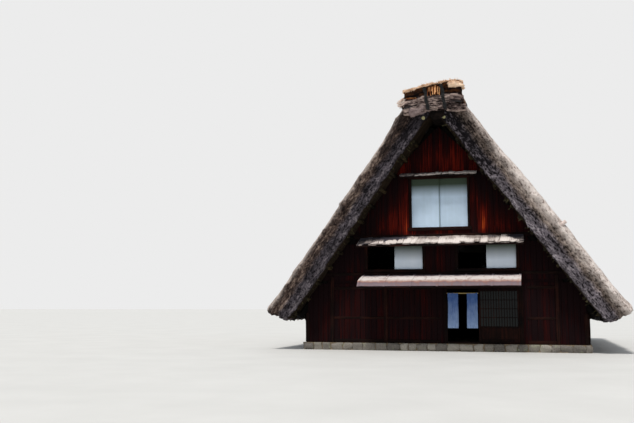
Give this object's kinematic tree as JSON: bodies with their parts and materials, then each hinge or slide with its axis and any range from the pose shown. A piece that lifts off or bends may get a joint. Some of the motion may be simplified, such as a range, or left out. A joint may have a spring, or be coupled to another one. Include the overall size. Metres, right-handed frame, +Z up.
{
  "type": "thatched farmhouse",
  "caption": "Steep thatched farmhouse with board gables, pent roofs, white window panels and a sliding entrance door behind a split curtain.",
  "frame": {"origin": "on the ground under the middle of the ridge, at the centre of the bounding box's base", "axes": "+Z up, +Y along the ridge away from the front gable, +X to the right seen from the front"},
  "size_m": [11.58, 14.2364, 8.5173],
  "materials": {
    "stone": "rough field stone with packed earth between",
    "thatch": "weathered reed thatch, cut ends at the verges and eaves",
    "ridge_straw": "bundled straw, brown and loose",
    "dark_timber": "smoke-darkened round and sawn timber",
    "floor_boards": "worn plain boards",
    "wall_boards": "vertical boards, dark red-brown, weathered",
    "grey_shingles": "split board shingles bleached grey",
    "rusty_sheet_metal": "pale painted sheet, rust streaks",
    "white_panel": "matt white, faintly blue",
    "glazed_lattice": "dark lattice over old window glass",
    "bamboo": "dry bamboo pole",
    "blue_cloth": "faded indigo cotton"
  },
  "bodies": {
    "house": {"back_gable_top": "wall_boards", "back_high_panel_left": "white_panel", "back_high_panel_right": "white_panel", "back_low_panel_left": "white_panel", "back_low_panel_right": "white_panel", "back_lower_shingle_roof": "grey_shingles", "back_metal_pent_roof": "rusty_sheet_metal", "back_second_storey_left": "wall_boards", "back_second_storey_middle": "wall_boards", "back_second_storey_right": "wall_boards", "back_third_storey_left": "wall_boards", "back_third_storey_right": "wall_boards", "back_upper_shingle_roof": "grey_shingles", "back_wall": "wall_boards", "back_wall_between_storeys": "wall_boards", "curtain_left": "blue_cloth", "curtain_right": "blue_cloth", "curtain_rod": "bamboo", "entrance_head": "dark_timber", "entrance_post_left": "dark_timber", "entrance_post_right": "dark_timber", "entrance_screen": "glazed_lattice", "entrance_threshold": "dark_timber", "front_gable_top": "wall_boards", "front_high_panel_left": "white_panel", "front_high_panel_right": "white_panel", "front_low_panel_left": "white_panel", "front_low_panel_right": "white_panel", "front_lower_shingle_roof": "grey_shingles", "front_metal_pent_roof": "rusty_sheet_metal", "front_second_storey_left": "wall_boards", "front_second_storey_middle": "wall_boards", "front_second_storey_right": "wall_boards", "front_third_storey_left": "wall_boards", "front_third_storey_right": "wall_boards", "front_upper_shingle_roof": "grey_shingles", "front_wall_between_storeys": "wall_boards", "front_wall_left": "wall_boards", "front_wall_over_door": "wall_boards", "front_wall_right": "wall_boards", "left_side_wall": "wall_boards", "ridge_cap": "ridge_straw", "right_side_wall": "wall_boards", "roof_frame_left": "dark_timber", "roof_frame_right": "dark_timber", "second_floor": "floor_boards", "stone_base": "stone", "thatch_left": "thatch", "thatch_right": "thatch", "third_floor": "floor_boards"},
    "door_leaf": {"sliding_door": "glazed_lattice"}
  },
  "joints": [
    {"name": "entrance_door_slide", "type": "slide", "parent": "house", "child": "door_leaf", "axis": [-1, 0, 0], "range_m": [0, 1.1]}
  ]
}
